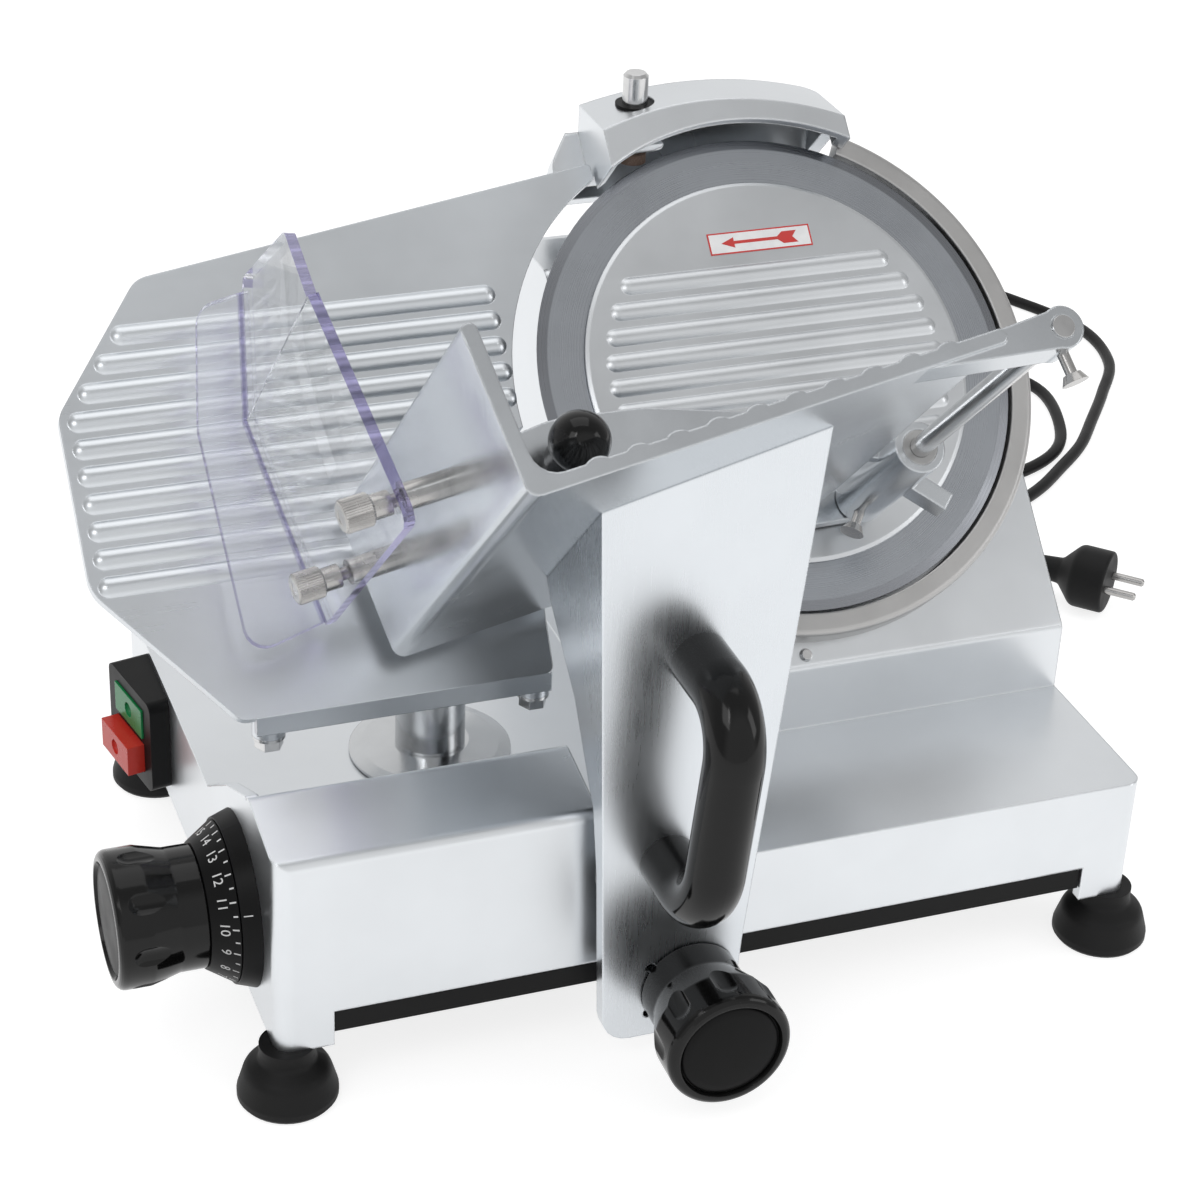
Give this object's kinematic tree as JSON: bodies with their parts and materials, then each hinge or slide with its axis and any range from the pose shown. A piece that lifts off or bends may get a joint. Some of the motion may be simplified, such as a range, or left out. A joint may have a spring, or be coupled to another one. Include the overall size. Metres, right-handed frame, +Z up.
{
  "type": "deli meat slicer",
  "caption": "Slanted-blade food slicer with a hand-moved tray, hinged pusher, ridged gauge plate, thickness dial, blade sharpener, clear guard and a power cord.",
  "frame": {"origin": "middle of the machine's outline, without its cord, on the table under the feet", "axes": "+X along the tray's travel to the right, +Y to the back, +Z up"},
  "size_m": [0.8341, 0.8804, 0.3942],
  "materials": {
    "cast_aluminium": "satin",
    "polished_aluminium": "polished",
    "blade_steel": "ground",
    "bright_steel": "plated",
    "black_plastic": "gloss",
    "black_matt": "matt",
    "black_paint": "satin",
    "rubber": "matt",
    "clear_sheet": "clear",
    "green_plastic": "gloss",
    "red_plastic": "gloss",
    "bronze": "turned",
    "stone": "rough"
  },
  "bodies": {
    "base": {"base_casting": "cast_aluminium", "bottom_pan": "black_paint", "pan_screws": "bright_steel", "feet": "rubber", "foot_screws": "bright_steel", "switch_box": "black_matt", "cord_gland": "black_matt", "power_cord": "rubber", "plug_body": "black_matt", "plug_pins": "bright_steel", "motor": "black_paint", "motor_mount": "cast_aluminium", "drive_belt": "black_matt", "axle_bracket": "cast_aluminium", "blade_axle": "blade_steel", "axle_nut": "bright_steel", "blade_cover": "polished_aluminium", "guard_ring": "cast_aluminium", "ring_screws": "bright_steel", "sharpener_body": "cast_aluminium", "plunger_bush": "black_matt", "plunger_spring": "bright_steel", "gauge_rod": "blade_steel", "dial_bezel": "black_plastic", "guide_rod": "blade_steel"},
    "blade": {"blade_hub": "cast_aluminium", "hub_bearings": "bright_steel", "blade": "blade_steel", "blade_screws": "bright_steel"},
    "rotor": {"motor_pulley": "blade_steel"},
    "sharpener_button": {"plunger": "bright_steel", "grinding_stone": "stone"},
    "start": {"start_button": "green_plastic"},
    "stop": {"stop_button": "red_plastic"},
    "gauge": {"gauge_plate": "cast_aluminium", "gauge_column": "cast_aluminium", "gauge_dish": "polished_aluminium", "gauge_bolts": "bright_steel", "gauge_slide": "polished_aluminium"},
    "dial": {"dial_ring": "black_plastic", "dial_grip": "black_plastic", "dial_shaft": "bright_steel"},
    "carriage": {"carriage_slide": "polished_aluminium", "slide_bushes": "bronze", "tray": "cast_aluminium", "tray_arm": "cast_aluminium", "arm_screws": "bright_steel", "handle": "black_plastic", "pusher_rod": "bright_steel", "rod_screw": "bright_steel", "clear_guard": "clear_sheet", "guard_posts": "bright_steel", "guard_nuts": "bright_steel"},
    "lock": {"lock_knob": "black_plastic"},
    "pusher_slide": {"pusher_bush": "bronze"},
    "pusher": {"pusher": "cast_aluminium", "sleeve_screw": "bright_steel", "pusher_spikes": "bright_steel", "pusher_ball": "black_plastic"}
  },
  "joints": [
    {"name": "blade_spin", "type": "hinge", "parent": "base", "child": "blade", "pos_m": [0.118, 0.07716, 0.24359], "axis": [0, -0.7071, 0.7071], "continuous": true},
    {"name": "motor_spin", "type": "hinge", "parent": "base", "child": "rotor", "pos_m": [0.128, 0.05312, 0.16015], "axis": [0, -0.7071, 0.7071], "continuous": true},
    {"name": "sharpener_press", "type": "slide", "parent": "base", "child": "sharpener_button", "axis": [0, 0, -1], "range_m": [0, 0.003], "deforming": ["plunger_spring"]},
    {"name": "start_press", "type": "slide", "parent": "base", "child": "start", "axis": [0.9816, 0.1908, 0], "range_m": [0, 0.003]},
    {"name": "stop_press", "type": "slide", "parent": "base", "child": "stop", "axis": [0.9816, 0.1908, 0], "range_m": [0, 0.003]},
    {"name": "dial_turn", "type": "hinge", "parent": "base", "child": "dial", "pos_m": [-0.202, -0.05225, 0.075], "axis": [1, 0, 0], "range_deg": [-210, 90]},
    {"name": "gauge_slide", "type": "slide", "parent": "base", "child": "gauge", "axis": [0, 1, 0], "range_m": [-0.0126, 0.0054]},
    {"name": "carriage_slide", "type": "slide", "parent": "base", "child": "carriage", "axis": [1, 0, 0], "range_m": [0, 0.19]},
    {"name": "lock_turn", "type": "hinge", "parent": "carriage", "child": "lock", "pos_m": [0, -0.13225, 0.04], "axis": [0, -1, 0], "range_deg": [-180, 180]},
    {"name": "pusher_travel", "type": "slide", "parent": "carriage", "child": "pusher_slide", "axis": [0, -0.7071, 0.7071], "range_m": [0, 0.125]},
    {"name": "pusher_lift", "type": "hinge", "parent": "pusher_slide", "child": "pusher", "pos_m": [0.13817, -0.02675, 0.24149], "axis": [0, 0.7071, -0.7071], "range_deg": [0, 110]}
  ],
  "couplings": [
    {"joint": "motor_spin", "follows": "blade_spin", "ratio": 3.2},
    {"joint": "gauge_slide", "follows": "dial_turn", "m_per_rad": 0.0034377}
  ]
}
